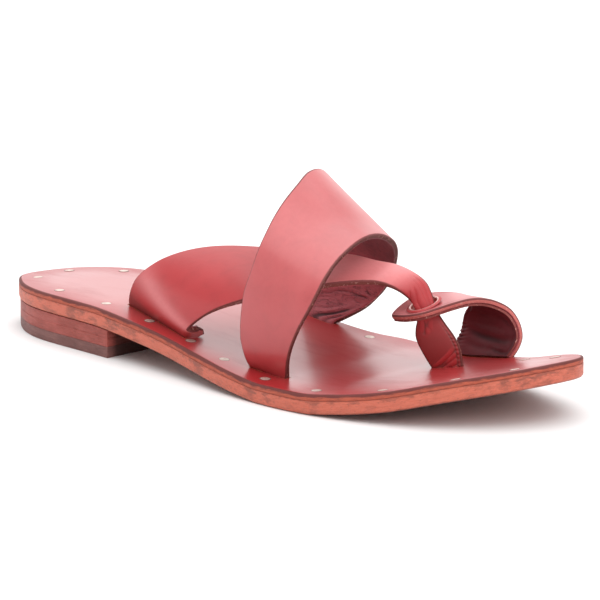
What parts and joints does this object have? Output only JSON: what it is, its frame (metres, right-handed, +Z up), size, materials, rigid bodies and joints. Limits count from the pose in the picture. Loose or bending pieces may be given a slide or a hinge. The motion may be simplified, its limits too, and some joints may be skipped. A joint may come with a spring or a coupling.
{
  "type": "slide sandal",
  "caption": "Right leather slide sandal with a low stacked heel, an instep strap over a diagonal strap that runs through a grommet in a toe loop.",
  "frame": {"origin": "middle of the heel's flat bottom, on the floor", "axes": "+X from heel to toe, +Y towards the inner side of the foot, +Z up"},
  "size_m": [0.2548, 0.0893, 0.0727],
  "materials": {
    "raw_leather": "satin",
    "stacked_leather": "satin",
    "heel_lift": "matte",
    "insole_leather": "gloss",
    "strap_leather": "satin",
    "loop_leather": "satin",
    "grommet_metal": "satin",
    "nail_metal": "satin"
  },
  "bodies": {
    "root": {"outsole": "raw_leather", "heel_stack": "stacked_leather", "heel_lift": "heel_lift", "insole": "insole_leather", "upper": "strap_leather", "toe_loop": "loop_leather", "grommet": "grommet_metal", "nail_01": "nail_metal", "nail_02": "nail_metal", "nail_03": "nail_metal", "nail_04": "nail_metal", "nail_05": "nail_metal", "nail_06": "nail_metal", "nail_07": "nail_metal", "nail_08": "nail_metal", "nail_09": "nail_metal", "nail_10": "nail_metal", "nail_11": "nail_metal", "nail_12": "nail_metal", "nail_13": "nail_metal", "nail_14": "nail_metal", "nail_15": "nail_metal", "nail_16": "nail_metal", "nail_17": "nail_metal", "nail_18": "nail_metal", "nail_19": "nail_metal", "nail_20": "nail_metal"}
  },
  "joints": []
}
